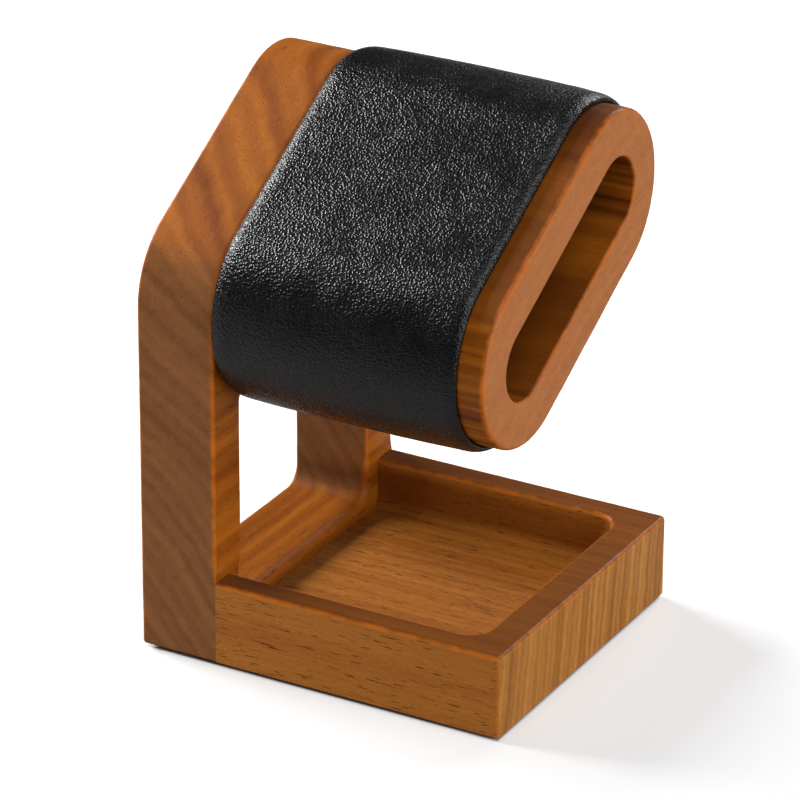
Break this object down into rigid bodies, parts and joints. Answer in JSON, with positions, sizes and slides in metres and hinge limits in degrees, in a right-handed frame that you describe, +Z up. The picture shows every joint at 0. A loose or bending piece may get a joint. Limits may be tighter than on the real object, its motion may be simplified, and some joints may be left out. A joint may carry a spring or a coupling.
{
  "type": "watch stand",
  "caption": "Wooden stand with a slanted, leather-wrapped padded arm that holds a watch or bracelet, above a shallow valet tray, with an open upright frame at the back.",
  "frame": {"origin": "on the ground under the middle of the base", "axes": "+Z up; -Y is the front, where the arm ends and the tray opens; +X is the side towards which the arm's section rises"},
  "size_m": [0.0796, 0.085, 0.1197],
  "materials": {
    "upright_wood": "red-brown hardwood, board grain level from side to side, gloss lacquer",
    "tray_wood": "red-brown hardwood, grain from front to back, gloss lacquer",
    "arm_wood": "lighter brown hardwood, satin lacquer",
    "dowel_wood": "plain beech, unfinished",
    "foam": "thin dark foam under the leather",
    "black_leather": "fine pebbled black leather with a low sheen",
    "foot_felt": "thin dark felt discs"
  },
  "bodies": {
    "root": {"upright_frame": "upright_wood", "tray_base": "tray_wood", "arm_core": "arm_wood", "foam_padding": "foam", "leather_sleeve": "black_leather", "tray_dowel_left": "dowel_wood", "tray_dowel_right": "dowel_wood", "arm_dowel_lower": "dowel_wood", "arm_dowel_upper": "dowel_wood", "foot_pad_front_left": "foot_felt", "foot_pad_front_right": "foot_felt", "foot_pad_back_left": "foot_felt", "foot_pad_back_right": "foot_felt"}
  },
  "joints": []
}
